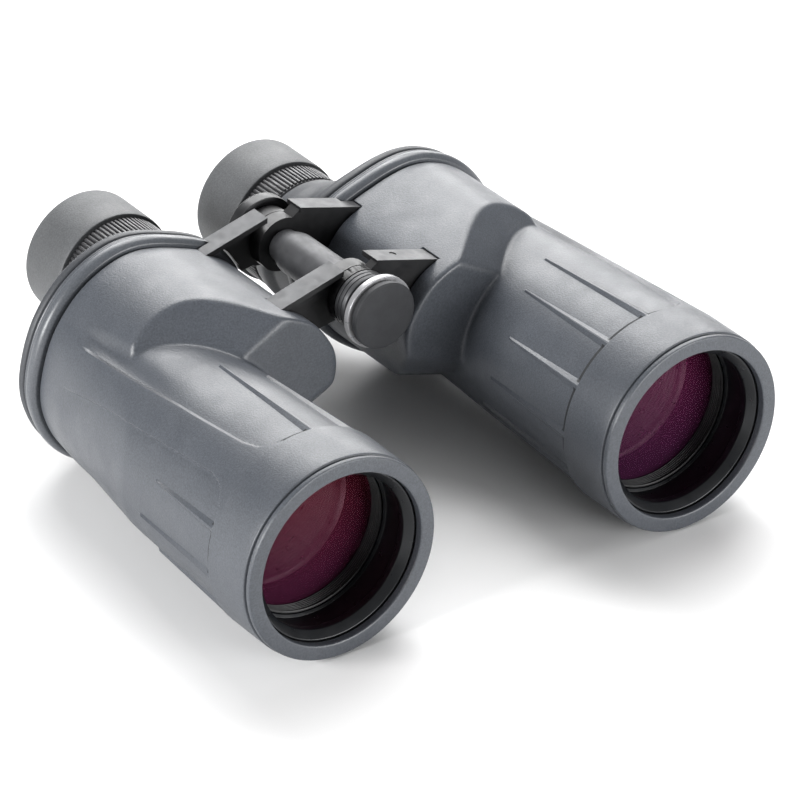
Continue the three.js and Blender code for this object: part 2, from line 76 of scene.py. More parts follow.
# ---- driving dimensions --------------------------------------------------------------------------
HOUSING_FRONT = 76.3 * MM                    # flat front of the prism housing
BARREL_TAPER = 0.0506                        # loss of barrel radius per metre of length
TAPER_START = 53 * MM                        # where the outer side starts narrowing to the housing
SHEET = 2.0 * MM                             # thickness of the rubber
SHOULDER = ((0.57, -1, 1.03), (50 * MM, 80.1 * MM, 0))
INNER_CHAMFER = ((-0.374, -1, -0.92), (0, 61.5 * MM, 0))
UNDERSIDE = ((-0.3, -0.5, -1), (0, 30 * MM, 0))
OUTLINE = np.array([
    (13, -13), (16.6, -5.2), (22, 1.2), (28.8, 5), (36, 7.7), (44, 10.2), (52, 11.3), (60, 10),
    (69, 5.6), (76.5, -1.2), (82.6, -11), (86.2, -24.6), (85.6, -35), (80.8, -46), (72.5, -54.2),
    (62, -57.6), (50, -56), (38, -51), (27, -43.5), (18.5, -34), (14, -23.5),
]) * MM
RIBS = [  # angle round the objective axis at the hood and at the rib's rear end, and that end's y
    (95.0, 97.5, 70), (122.5, 122.5, 63.5), (150.5, 150.5, 57), (179.5, 179.0, 61),
    (205.0, 205.0, 68), (238.0, 238.0, 63), (266.0, 266.0, 63), (294.0, 294.0, 60),
    (322.0, 322.0, 60), (350.0, 350.0, 61), (378.2, 378.2, 53.5),
]
RIB_WIDTH = (0.55 * MM, 2.0 * MM)            # half width at the rear end and at the hood
RIB_HEIGHT = (0.7 * MM, 1.25 * MM)
PANEL_RECESS = (1.25 * MM, 0.6 * MM)         # depth of the panels at the hood and at the shoulder
PANEL_TAPER = 50 * MM                        # length over which that depth changes
PANEL_FADE = (118 * MM, 102 * MM)            # where the panels have run out, and where they start to
PANEL_FLOOR = (0.8 * MM, 1.6 * MM)           # least and most depth of a panel's floor near the hood
HOOD_EDGE = HOOD_LENGTH + 0.3 * MM           # where the panels start behind the hood
HOOD_SHADE_WIDTH = 2.1 * MM                         # width of the painted shade at the foot of the hood's step
# The raised band on the barrel's outer side: (angle, y) along its two long edges, and round the
# corners where they run out into the hood.
BAND_TOP = [(53.4, 110), (54.8, 95), (56.6, 81), (59, 67), (61, 51), (64, 31)]
BAND_TOP_CORNER = [(66.7, 25), (71, 22.8), (78, 21)]
BAND_FOOT = [(41.7, 32), (39, 49), (36, 68), (33, 87), (26.8, 105), (24, 112)]
BAND_FOOT_CORNER = [(6, 20.6), (18, 21), (30, 22), (37, 24.7), (40.5, 28)]
BAND_MIDDLE = math.radians(48)               # an angle between the band's two long edges
BAND_LIP = (0.7 * MM, 0.3 * MM)              # half width of the step at its upper and lower edges
HOLLOW_ANGLE = math.radians(60)              # the hollow along the band's upper edge: its middle,
HOLLOW_SPREAD = math.radians(8)              # its half width,
HOLLOW_DEPTH = 1.2 * MM                      # its depth,
HOLLOW_REACH = (55 * MM, 92 * MM)            # and where it starts and is full
COVER_WIDENS = (135 * MM, 139 * MM)          # where the cover starts to keep clear of the eyepiece
COVER_END = 158.7 * MM                       # rear edge of the cover
LENS_HEIGHTS = (-0.052, -0.004)              # bottom and top of the objective lenses, from the hinge
GUIDE_HALF = 1.1 * MM                        # half width of the close columns along a band's edge
OUTLINE_SIDES = 288                          # points round the cover and the bead

# The hinge arms, in mm: height of the plates above the hinge, their inner end, and front and rear.
ARM_TOP = 12.55
ARM_SLOPE = math.radians(15.5)
ARM_INNER = 6.2
ARM_FOOT = -9                                # height of the arms' lower edges
HUB_BORE = 4.85
ARMS = {"front": (83.5, 91.4), "rear": (124.5, 131.9)}
FLAT_AREA = 8 * MM ** 2                      # an arm's flat faces are larger, its rounded ones smaller
HUBS = {  # radius, and front and rear of the hub on each half
    "front": (9.6, {"left": (83.6, 86.8), "right": (87.1, 92.3)}),
    "rear": (9.05, {"left": (125.0, 130.0), "right": (130.3, 134.7)}),
}


# ---- geometry helpers ----------------------------------------------------------------------------
def smoothstep(low, high, value):
    t = np.clip((value - low) / (high - low), 0, 1)
    return t * t * (3 - 2 * t)


def catmull_rom(points, per_span, closed=True):
    """Points along a smooth curve through the given ones."""
    p = np.asarray(points, float)
    count = len(p)
    t = np.arange(per_span)[:, None] / per_span
    spans = []
    for i in range(count if closed else count - 1):
        if closed:
            a, b, c, d = (p[(i + k) % count] for k in (-1, 0, 1, 2))
        else:
            a, b, c, d = (p[min(max(i + k, 0), count - 1)] for k in (-1, 0, 1, 2))
        spans.append(0.5 * (2 * b + (c - a) * t + (2 * a - 5 * b + 4 * c - d) * t ** 2
                            + (3 * b - a - 3 * c + d) * t ** 3))
    if not closed:
        spans.append(p[-1:])
    return np.concatenate(spans)


def rounded(corners, steps=3, closed=True):
    """A profile with its corners rounded. A corner is (radius, y, size of the rounding), in mm."""
    count = len(corners)
    out = []
    for i, (r, y, size) in enumerate(corners):
        here = np.array((r, y), float)
        if size == 0 or (not closed and i in (0, count - 1)):
            out.append(here)
            continue
        before = np.array(corners[i - 1][:2], float) - here
        after = np.array(corners[(i + 1) % count][:2], float) - here
        reach = min(size, 0.45 * np.linalg.norm(before), 0.45 * np.linalg.norm(after))
        start = here + before / np.linalg.norm(before) * reach
        end = here + after / np.linalg.norm(after) * reach
        for t in np.linspace(0, 1, steps + 1):
            out.append((1 - t) ** 2 * start + 2 * t * (1 - t) * here + t ** 2 * end)
    return np.array(out) * MM


def ring_points(axis, radius, angle, y):
    """Points at a radius and angle round an axis along Y, in the layout frame."""
    radius, angle, y = np.broadcast_arrays(radius, angle, y)
    return np.stack((axis[0] + radius * np.cos(angle), y, axis[1] + radius * np.sin(angle)), -1)


def wrapped_faces(rows, columns, looped):
    """Quads of a grid whose columns run round; looped rows close on themselves as well."""
    i = np.arange(rows if looped else rows - 1)[:, None]
    j = np.arange(columns)[None, :]
    near = i * columns
    far = (i + 1) % rows * columns
    k = (j + 1) % columns
    return np.stack((near + j, near + k, far + k, far + j), -1).reshape(-1, 4)


def outward(points, faces):
    """The faces, turned round if they would close a negative volume."""
    p = points[faces]
    volume = 0
    for a, b in ((1, 2), (2, 3)):
        volume += np.einsum("ij,ij->i", p[:, 0], np.cross(p[:, a], p[:, b])).sum()
    return faces[:, ::-1] if volume < 0 else faces


def piece(name, points, faces, material, half=None, sharp=32):
    """A mesh object from layout-frame points; the half on -X gets the mirror image."""
    points = np.asarray(points, float).reshape(-1, 3) * ((-1, 1, 1) if half == "right" else (1, 1, 1))
    faces = outward(points, faces)
    mesh = bpy.data.meshes.new(name)
    mesh.from_pydata((points + ORIGIN).tolist(), [], faces.tolist())
    mesh.validate()
    obj = bpy.data.objects.new(name, mesh)
    bpy.context.scene.collection.objects.link(obj)
    mesh.materials.append(material)
    weld(obj)
    obj.data.shade_smooth()
    obj.data.set_sharp_from_angle(angle=math.radians(sharp))
    return obj


def weld(obj):
    """Joins points that coincide, as at the pole of a turned piece."""
    modifier = obj.modifiers.new("weld", "WELD")
    modifier.merge_threshold = 1e-6
    apply_modifiers(obj)


def apply_modifiers(obj):
    graph = bpy.context.evaluated_depsgraph_get()
    graph.update()
    made = bpy.data.meshes.new_from_object(obj.evaluated_get(graph))
    obj.modifiers.clear()
    old = obj.data
    obj.data = made
    made.name = old.name
    bpy.data.meshes.remove(old)


def boolean(obj, cutter, operation):
    modifier = obj.modifiers.new("boolean", "BOOLEAN")
    modifier.operation = operation
    modifier.solver = "EXACT"
    modifier.object = cutter
    apply_modifiers(obj)
    bpy.data.objects.remove(cutter)


def mount(obj, body, slot, *nodes):
    """Ties a piece to its body and hides the nodes that it stands for; the slot is not used."""
    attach(obj, body)
    if nodes:
        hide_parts(*nodes)


def turned(name, profile, axis, material, half=None, sides=128, sharp=32):
    """A piece turned from a closed profile of (radius, y) about an axis along Y."""
    angle = np.arange(sides) / sides * 2 * math.pi
    points = ring_points(axis, profile[:, :1], angle[None, :], profile[:, 1:])
    return piece(name, points, wrapped_faces(len(profile), sides, True), material, half, sharp)


def blur(values, sigma, axis, periodic):
    """A Gaussian blur along one axis; an end that isn't periodic keeps its place and slope."""
    reach = int(3 * sigma) + 1
    kernel = np.exp(-0.5 * (np.arange(-reach, reach + 1) / sigma) ** 2)
    kernel /= kernel.sum()
    v = np.moveaxis(values, axis, 0)
    if periodic:
        padded = np.concatenate((v[-reach:], v, v[:reach]))
    else:
        padded = np.concatenate((2 * v[0] - v[reach:0:-1], v, 2 * v[-1] - v[-2:-reach - 2:-1]))
    out = sum(k * padded[i:i + len(v)] for i, k in enumerate(kernel))
    return np.moveaxis(out, 0, axis)


# ---- materials -----------------------------------------------------------------------------------
class Nodes:
    """A short way to build a node material round one Principled shader."""

    def __init__(self, name):
        self.material = bpy.data.materials.new(name)
        self.material.use_nodes = True
        self.tree = self.material.node_tree
        self.shader = self.tree.nodes["Principled BSDF"]
        self.place = self.add("ShaderNodeTexCoord").outputs["Object"]

    def add(self, kind, **values):
        node = self.tree.nodes.new(kind)
        for key, value in values.items():
            setattr(node, key, value)
        return node

    def link(self, output, target):
        self.tree.links.new(output, target)

    def set(self, **values):
        for key, value in values.items():
            self.shader.inputs[key.replace("_", " ")].default_value = value

    def noise(self, scale, detail=3.0, roughness=0.5, stretch=None):
        node = self.add("ShaderNodeTexNoise")
        node.inputs["Scale"].default_value = scale
        node.inputs["Detail"].default_value = detail
        node.inputs["Roughness"].default_value = roughness
        if stretch:
            mapping = self.add("ShaderNodeMapping")
            mapping.inputs["Scale"].default_value = stretch
            self.link(self.place, mapping.inputs["Vector"])
            self.link(mapping.outputs["Vector"], node.inputs["Vector"])
        else:
            self.link(self.place, node.inputs["Vector"])
        return node.outputs["Fac"]

    def ramp(self, factor, stops):
        node = self.add("ShaderNodeValToRGB")
        elements = node.color_ramp.elements
        while len(elements) < len(stops):
            elements.new(0.5)
        for element, (position, colour) in zip(elements, stops):
            element.position = position
            element.color = (*colour, 1)
        self.link(factor, node.inputs["Fac"])
        return node.outputs["Color"]

    def range(self, value, low, high, to_low, to_high):
        node = self.add("ShaderNodeMapRange")
        limits = {"From Min": low, "From Max": high, "To Min": to_low, "To Max": to_high}
        for key, number in limits.items():
            node.inputs[key].default_value = number
        self.link(value, node.inputs["Value"])
        return node.outputs["Result"]

    def multiply(self, factor, first, second):
        """The first colour, multiplied by the second to the given share."""
        node = self.add("ShaderNodeMix", data_type="RGBA", blend_type="MULTIPLY")
        node.inputs["Factor"].default_value = factor
        self.link(first, node.inputs["A"])
        self.link(second, node.inputs["B"])
        return node.outputs["Result"]

    def bump(self, height, distance, strength=1.0, under=None):
        node = self.add("ShaderNodeBump")
        node.inputs["Distance"].default_value = distance
        node.inputs["Strength"].default_value = strength
        self.link(height, node.inputs["Height"])
        if under is not None:
            self.link(under, node.inputs["Normal"])
        self.link(node.outputs["Normal"], self.shader.inputs["Normal"])
        return node.outputs["Normal"]

    def colour(self, output):
        self.link(output, self.shader.inputs["Base Color"])

    def roughness(self, output):
        self.link(output, self.shader.inputs["Roughness"])


def tint(colour, factor):
    return tuple(c * factor for c in colour)


def rubber(name, colour, roughness, grain=1900, depth=0.09 * MM, mottle=0.06):
    """Moulded rubber: a fine grain, slow changes of tone, and slightly polished high spots."""
    n = Nodes(name)
    slow = n.noise(38, 4, 0.55)
    fine = n.noise(grain, 2, 0.6)
    body = n.ramp(slow, [(0.3, tint(colour, 1 - mottle)), (0.7, tint(colour, 1 + mottle))])
    speck = n.ramp(fine, [(0.32, (0.6, 0.6, 0.6)), (0.68, (1.3, 1.3, 1.3))])
    n.colour(n.multiply(0.6, body, speck))
    n.roughness(n.range(n.noise(90, 5, 0.6), 0.3, 0.7, roughness - 0.05, roughness + 0.07))
    coarse = n.bump(n.noise(620, 2, 0.5), depth * 0.7, 0.35)
    n.bump(fine, depth, 0.8, coarse)
    n.set(Specular_IOR_Level=0.5)
    return n.material


def painted_metal(name, colour, roughness):
    """Satin finish on turned metal: a fine texture and slow changes of tone."""
    n = Nodes(name)
    n.colour(n.ramp(n.noise(120, 5, 0.6), [(0.3, tint(colour, 0.8)), (0.7, tint(colour, 1.25))]))
    n.roughness(n.range(n.noise(300, 3, 0.6), 0.3, 0.7, roughness - 0.06, roughness + 0.08))
    n.bump(n.noise(3200, 2, 0.6), 0.02 * MM, 0.5)
    n.set(Metallic=0.35, Specular_IOR_Level=0.6)
    return n.material


def bare_metal(name, colour, roughness):
    """Turned or cast metal with fine marks."""
    n = Nodes(name)
    marks = n.noise(900, 3, 0.6, stretch=(1, 0.08, 1))
    n.colour(n.ramp(marks, [(0.3, tint(colour, 0.8)), (0.7, colour)]))
    n.roughness(n.range(n.noise(200, 4, 0.6), 0.3, 0.7, roughness - 0.06, roughness + 0.1))
    n.bump(marks, 0.01 * MM, 0.5)
    n.set(Metallic=1.0)
    return n.material


def coated_lens(name, deep, bright, opacity):
    """Coated glass, partly seen through, with a painted reflection: brighter towards the lens's top."""
    n = Nodes(name)
    split = n.add("ShaderNodeSeparateXYZ")
    n.link(n.place, split.inputs[0])
    height = n.range(split.outputs["Z"], *(ORIGIN[2] + at for at in LENS_HEIGHTS), 0, 1)
    tone = n.ramp(height, [(0.1, deep), (0.9, bright)])
    smear = n.ramp(n.noise(60, 3, 0.6), [(0.3, (0.9, 0.9, 0.9)), (0.7, (1.0, 1.0, 1.0))])
    n.colour(n.multiply(1.0, tone, smear))
    n.roughness(n.range(n.noise(500, 3, 0.6), 0.4, 0.8, 0.03, 0.08))
    n.set(Alpha=opacity, Specular_IOR_Level=0.12)
    return n.material


def clear_glass(name):
    """Polished optical glass that light passes through."""
    n = Nodes(name)
    n.colour(n.ramp(n.noise(80, 3, 0.6), [(0.3, (0.86, 0.92, 0.9)), (0.7, (0.93, 0.97, 0.96))]))
    n.roughness(n.range(n.noise(500, 3, 0.6), 0.4, 0.8, 0.01, 0.06))
    n.set(Transmission_Weight=1.0, IOR=1.52)
    return n.material


MATERIALS = {
    "armour_rubber": rubber("armour_rubber", (0.056, 0.062, 0.073), 0.4),
    "bead_rubber": rubber("bead_rubber", (0.07, 0.076, 0.086), 0.33, depth=0.03 * MM),
    "cup_rubber": rubber("cup_rubber", (0.07, 0.073, 0.077), 0.55, mottle=0.18),
    "cover_rubber": rubber("cover_rubber", (0.034, 0.037, 0.043), 0.5, depth=0.05 * MM),
    # near-black rubber for the painted shade at the foot of the hood's step
    "seam_shade_rubber": rubber("seam_shade_rubber", (0.008, 0.009, 0.011), 0.7),
    "seal_rubber": rubber("seal_rubber", (0.012, 0.012, 0.012), 0.6),
    "black_metal": painted_metal("black_metal", (0.012, 0.0125, 0.014), 0.4),
    "knurl_metal": painted_metal("knurl_metal", (0.045, 0.045, 0.048), 0.4),
    "cell_metal": painted_metal("cell_metal", (0.008, 0.009, 0.011), 0.32),
    "tube_metal": painted_metal("tube_metal", (0.05, 0.051, 0.055), 0.5),
    "bright_metal": painted_metal("bright_metal", (0.3, 0.3, 0.31), 0.3),
    "arm_metal": painted_metal("arm_metal", (0.008, 0.008, 0.009), 0.42),
    # a lighter copy of the arm metal: painted light on the arms' upward faces
    "arm_top_lit_metal": painted_metal("arm_top_lit_metal", (0.035, 0.036, 0.039), 0.46),
    "cap_metal": painted_metal("cap_metal", (0.02, 0.021, 0.024), 0.6),
    "baffle_black": painted_metal("baffle_black", (0.006, 0.006, 0.007), 0.4),
    # pale pinkish metal on the baffle threads: painted highlights, tinted like the lens coating, so lit
    # arcs show through the lens
    "thread_glint_metal": bare_metal("thread_glint_metal", (0.85, 0.55, 0.65), 0.3),
    "cast_body": bare_metal("cast_body", (0.5, 0.51, 0.52), 0.45),
    "steel": bare_metal("steel", (0.62, 0.62, 0.64), 0.28),
    "clear_glass": clear_glass("clear_glass"),
    "eye_glass": clear_glass("eye_glass"),
    # painted light: each lens grows brighter towards its top, and left and right get different tints for
    # the lamps they catch
    "inner_glass": coated_lens("inner_glass", (0.05, 0.02, 0.03), (0.06, 0.02, 0.03), 0.06),
    "lens_left": coated_lens("lens_left", (0.06, 0.014, 0.045), (0.1, 0.013, 0.045), 0.42),
    "lens_right": coated_lens("lens_right", (0.075, 0.014, 0.04), (0.11, 0.012, 0.022), 0.42),
}


# ---- rubber armour -------------------------------------------------------------------------------
FINE_ANGLES = np.arange(720) / 720 * 2 * math.pi
OUTLINE_CURVE = catmull_rom(OUTLINE, 20)
AWAY = OUTLINE_CURVE - OBJECTIVE
ORDER = np.argsort(np.arctan2(AWAY[:, 1], AWAY[:, 0]) % (2 * math.pi))


def outline_reach(angle):
    """Distance from the objective axis to the housing's outline."""
    angles = (np.arctan2(AWAY[:, 1], AWAY[:, 0]) % (2 * math.pi))[ORDER]
    return np.interp(angle, angles, np.linalg.norm(AWAY, axis=1)[ORDER], period=2 * math.pi)


def barrel_skin(angle, y):
    """Radius of the barrel's surface, before its panels are sunk."""
    cone = HOOD_RADIUS - BARREL_TAPER * (y - HOOD_LENGTH)
    share = np.clip((y - TAPER_START) / (SEAM - TAPER_START), 0, 1)
    faired = HOOD_RADIUS + (outline_reach(angle) - HOOD_RADIUS) * share
    return np.minimum(cone, faired)


def housing_limit(angle, y):
    """Distance from the objective axis to the surface of the housing block."""
    limit = outline_reach(angle)
    for normal, point in (SHOULDER, INNER_CHAMFER, UNDERSIDE):
        slope = normal[0] * np.cos(angle) + normal[2] * np.sin(angle)
        start = normal[0] * OBJECTIVE[0] + normal[1] * y + normal[2] * OBJECTIVE[1]
        room = np.dot(normal, point) - start
        limit = np.where(slope > 1e-3, np.minimum(limit, room / np.maximum(slope, 1e-3)), limit)
    return limit


def rear_sheet(start, rows):
    """The surface from a place on the barrel back to the seam, over the housing's front and
    shoulder: a grid of angles by rows, with softened creases, and how much of it is barrel."""
    angle = FINE_ANGLES[:, None]
    before = np.linspace(start, HOUSING_FRONT, 60)[None, :]
    behind = np.linspace(HOUSING_FRONT, SEAM, 420)[None, :]
    barrel = barrel_skin(angle, behind)
    housing = np.maximum(barrel, housing_limit(angle, behind))
    radius = np.concatenate((barrel_skin(angle, before), housing), 1)
    y = np.repeat(np.concatenate((before, behind), 1), len(FINE_ANGLES), 0)
    sampled = np.zeros((len(FINE_ANGLES), rows, 2))
    for i in range(len(FINE_ANGLES)):
        steps = np.hypot(np.diff(radius[i]), np.diff(y[i]))
        along = np.concatenate(([0], np.cumsum(steps)))
        at = np.linspace(0, along[-1], rows)
        sampled[i, :, 0] = np.interp(at, along, radius[i])
        sampled[i, :, 1] = np.interp(at, along, y[i])
    grid = ring_points(OBJECTIVE, sampled[..., 0], angle, sampled[..., 1])
    grid = blur(blur(grid, 2.2, 1, False), 3.2, 0, True)
    distance = np.hypot(grid[..., 0] - OBJECTIVE[0], grid[..., 2] - OBJECTIVE[1])
    excess = distance - barrel_skin(angle, grid[..., 1])
    return grid, 1 - smoothstep(0.3 * MM, 2 * MM, excess)


def sheet_normals(grid):
    across = np.roll(grid, -1, 0) - np.roll(grid, 1, 0)
    along = np.gradient(grid, axis=1)
    normal = np.cross(across, along)
    normal /= np.linalg.norm(normal, axis=-1, keepdims=True)
    outside = grid - np.array([OBJECTIVE[0], 0, OBJECTIVE[1]]) * (1, 0, 1)
    facing = np.einsum("ijk,ijk->ij", normal, outside * (1, 0, 1)).mean()
    return normal if facing > 0 else -normal


def pick(grid, angle, row):
    """Values of a sheet at any angle, one row at a time."""
    place = (angle / (2 * math.pi) * len(FINE_ANGLES)) % len(FINE_ANGLES)
    low = np.floor(place).astype(int) % len(FINE_ANGLES)
    share = place - np.floor(place)
    high = (low + 1) % len(FINE_ANGLES)
    if grid.ndim == 3:
        share = share[:, None]
    return grid[low, row] * (1 - share) + grid[high, row] * share


def rib_shape(rib, y):
    """Centre angle, half width and height of a rib at a distance behind the rims."""
    front, rear, end = rib
    share = np.clip((end * MM - y) / (end * MM - HOOD_LENGTH), 0, 1)
    centre = np.radians(rear + (front - rear) * share)
    width = RIB_WIDTH[0] + (RIB_WIDTH[1] - RIB_WIDTH[0]) * share
    height = RIB_HEIGHT[0] + (RIB_HEIGHT[1] - RIB_HEIGHT[0]) * share
    return centre, width, height * smoothstep(end * MM + 0.3 * MM, end * MM - 0.5 * MM, y)


def edge_angle(edge, y):
    """Angle of one of the band's long edges at a distance behind the rims."""
    points = sorted((at, math.radians(turn)) for turn, at in edge)
    return np.interp(y / MM, [at for at, _ in points], [turn for _, turn in points])


def guides(y):
    """Where the grid's columns crowd together: each rib and each edge of the band, in order."""
    found = []
    for rib in RIBS:
        centre, width, _ = rib_shape(rib, y)
        found.append((centre, width / HOOD_RADIUS, (-1, -0.55, -0.12, 0.12, 0.55, 1)))
    for edge in (BAND_FOOT, BAND_TOP):
        turn = edge_angle(edge, y) + 2 * math.pi
        found.append((turn, GUIDE_HALF / HOOD_RADIUS, (-1, -0.5, -0.2, 0, 0.2, 0.5, 1)))
    return found


def column_angles(y):
    """Angles of the grid's columns at one distance: close on each guide, even between them."""
    columns = []
    here = guides(y)
    for i, (centre, half, shares) in enumerate(here):
        columns += [centre + half * share for share in shares]
        after, after_half, _ = here[(i + 1) % len(here)]
        end = after - after_half + (2 * math.pi if i == len(here) - 1 else 0)
        start = centre + half
        count = COLUMN_COUNTS[i]
        columns += list(start + (end - start) * np.arange(1, count) / count)
    return np.array(columns)


def column_counts():
    """How many steps the grid takes from each guide to the next."""
    centres = [centre for centre, _, _ in guides(40 * MM)]
    gaps = np.diff(centres + [centres[0] + 2 * math.pi])
    return [max(6, round(math.degrees(space) / 1.2)) for space in gaps]


COLUMN_COUNTS = column_counts()


def band_distance(angle, y):
    """Distance inside the raised band on the outer side, negative outside it."""
    corners = np.array([(52, 145)] + BAND_TOP + BAND_TOP_CORNER + [(78, 15), (6, 15)]
                       + BAND_FOOT_CORNER + BAND_FOOT + [(20, 145)])
    turn = np.radians(corners[:, 0])
    loop = np.stack((turn * HOOD_RADIUS, corners[:, 1] * MM), 1)
    wrapped = (angle + math.pi / 2) % (2 * math.pi) - math.pi / 2
    point = np.stack((wrapped * HOOD_RADIUS, y), -1)
    best = np.full(angle.shape, 1.0)
    inside = np.zeros(angle.shape, bool)
    for a, b in zip(loop, np.roll(loop, -1, 0)):
        edge = b - a
        share = np.clip(((point - a) @ edge) / (edge @ edge), 0, 1)
        best = np.minimum(best, np.linalg.norm(point - a - share[..., None] * edge, axis=-1))
        crosses = (a[1] > point[..., 1]) != (b[1] > point[..., 1])
        with np.errstate(divide="ignore", invalid="ignore"):
            at = a[0] + (point[..., 1] - a[1]) / (b[1] - a[1]) * edge[0]
        inside ^= crosses & (point[..., 0] < at)
    return np.where(inside, best, -best)


def relief(angle, y):
    """Height of the surface above the barrel's skin: sunk panels and the ribs between them."""
    wrapped = (angle + math.pi / 2) % (2 * math.pi) - math.pi / 2
    lip = np.where(wrapped > BAND_MIDDLE, *BAND_LIP)
    flush = smoothstep(-lip, lip, band_distance(angle, y))
    behind = y - HOOD_EDGE
    sunk = smoothstep(-0.06 * MM, 0.06 * MM, behind)
    deep = PANEL_RECESS[0] + (PANEL_RECESS[1] - PANEL_RECESS[0]) * np.clip(behind / PANEL_TAPER, 0, 1)
    hollow = np.exp(-((wrapped - HOLLOW_ANGLE) / HOLLOW_SPREAD) ** 2)
    deep = deep + HOLLOW_DEPTH * hollow * smoothstep(*HOLLOW_REACH, y)
    deep = deep * smoothstep(*PANEL_FADE, y) * sunk
    rise = np.zeros(angle.shape)
    for rib in RIBS:
        centre, width, height = rib_shape(rib, y)
        away = np.abs((angle - centre + math.pi) % (2 * math.pi) - math.pi) * HOOD_RADIUS
        rise = np.maximum(rise, height * np.clip(1 - away / width, 0, 1))
    return (rise * sunk - deep) * (1 - flush)


def paint_seam_shade(obj):
    """Paints shade on the foot of the hood's step, where the two mouldings meet, in near-black rubber."""
    obj.data.materials.append(MATERIALS["seam_shade_rubber"])
    sign = -1 if obj.name.endswith("right") else 1
    count = len(obj.data.polygons)
    centres = np.empty(count * 3)
    obj.data.polygons.foreach_get("center", centres)
    centres = centres.reshape(-1, 3) - ORIGIN
    across = centres[:, 0] * sign - OBJECTIVE[0]
    height = centres[:, 2] - OBJECTIVE[1]
    behind = centres[:, 1] - HOOD_EDGE
    sunk = HOOD_RADIUS - np.hypot(across, height)
    on_panel_floor = (sunk > PANEL_FLOOR[0]) & (sunk < PANEL_FLOOR[1])
    off_band = band_distance(np.arctan2(height, across), centres[:, 1]) < 0
    seam = (behind > 0) & (behind < HOOD_SHADE_WIDTH) & on_panel_floor & off_band
    obj.data.polygons.foreach_set("material_index", seam.astype(np.int32))


def armour_rows():
    """Rows of points of the armour, from inside the rim, over the outside and back within."""
    rim = rounded([
        (27.8, 2.4, 0), (27.8, 0, 0.7), (32.55, 0, 0.5), (32.75, 1.4, 0.25), (32.1, 1.6, 0.1),
        (32.1, 2.2, 0.1), (33.0, 2.4, 0.35), (33.1, 6, 0),
    ], 4, closed=False)
    hood_stations = np.array([10, 14, 17, 19, 19.7, 20.1]) * MM
    hood_edge = HOOD_EDGE + np.array([-0.15, -0.06, 0, 0.06, 0.2, 0.5, 0.9]) * MM
    barrel_end = 62 * MM
    barrel_stations = np.concatenate((
        np.arange(HOOD_EDGE + 1.3 * MM, 34 * MM, 0.4 * MM),
        np.arange(34 * MM, barrel_end - 0.4 * MM, 0.9 * MM)))
    rows = []
    front_angles = column_angles(0)
    for radius, y in rim:
        rows.append(ring_points(OBJECTIVE, radius, front_angles, y))
    for y in np.concatenate((hood_stations, hood_edge, barrel_stations)):
        angle = column_angles(y)
        if y < HOOD_LENGTH:
            skin = HOOD_RADIUS - 0.1 * MM * (1 - y / HOOD_LENGTH)
        else:
            skin = barrel_skin(angle, y)
        rows.append(ring_points(OBJECTIVE, skin + relief(angle, np.full(angle.shape, y)), angle, y))
    grid, barrel = rear_sheet(barrel_end, 190)
    normals = sheet_normals(grid)
    stations = np.linspace(barrel_end, SEAM, 60)
    followed = np.array([column_angles(y) for y in stations])
    angle = followed[0]
    for row in range(grid.shape[1] - 1):
        ahead = pick(grid, angle, row)[:, 1]
        angle = np.array([np.interp(y, stations, followed[:, i]) for i, y in enumerate(ahead)])
        points = pick(grid, angle, row)
        height = relief(angle, points[:, 1]) * pick(barrel, angle, row)
        radial = np.stack((np.cos(angle), 0 * angle, np.sin(angle)), -1)
        rows.append(points + radial * height[:, None])
    last = pick(grid, angle, grid.shape[1] - 1)
    last[:, 1] = SEAM
    rows.append(last - radial * 0.35 * MM)
    rows.append(last - radial * SHEET)
    for row in range(grid.shape[1] - 8, 0, -9):
        rows.append(pick(grid, angle, row) - pick(normals, angle, row) * SHEET)
    for y in np.array([55, 40, 24, 8, 3]) * MM:
        angle = column_angles(y)
        inner = barrel_skin(angle, np.maximum(y, HOOD_LENGTH)) - SHEET - 1.2 * MM
        rows.append(ring_points(OBJECTIVE, inner, angle, y))
    return np.array(rows)


def armour(half):
    rows = armour_rows()
    faces = wrapped_faces(rows.shape[0], rows.shape[1], True)
    obj = piece(f"armour_{half}", rows, faces, MATERIALS["armour_rubber"], half, sharp=24)
    cut_arm_slots(obj, half)
    # paints shade along the foot of the hood's step
    paint_seam_shade(obj)
    mount(obj, f"{half}_half", "armour_rubber", f"rubber_armour_{half}", f"objective_hood_{half}")


def plate_height(x):
    return (ARM_TOP - x * math.sin(ARM_SLOPE)) / math.cos(ARM_SLOPE)


def cut_arm_slots(obj, half):
    """Cuts the two slots where the hinge arms come out of the rubber."""
    clear = 0.35
    reach = 36
    for y0, y1 in ARMS.values():
        outline = [
            (ARM_INNER, plate_height(ARM_INNER) + clear), (reach, plate_height(reach) + clear),
            (reach, ARM_FOOT - clear), (ARM_INNER, ARM_FOOT - clear),
        ]
        points = [(x, y, z) for y in (y0 - clear, y1 + clear) for x, z in outline]
        faces = [(0, 1, 2, 3), (7, 6, 5, 4), (0, 4, 5, 1), (1, 5, 6, 2), (2, 6, 7, 3), (3, 7, 4, 0)]
        cutter = piece("arm_slot_cutter", np.array(points) * MM, np.array(faces),
                       MATERIALS["armour_rubber"], half)
        boolean(obj, cutter, "DIFFERENCE")


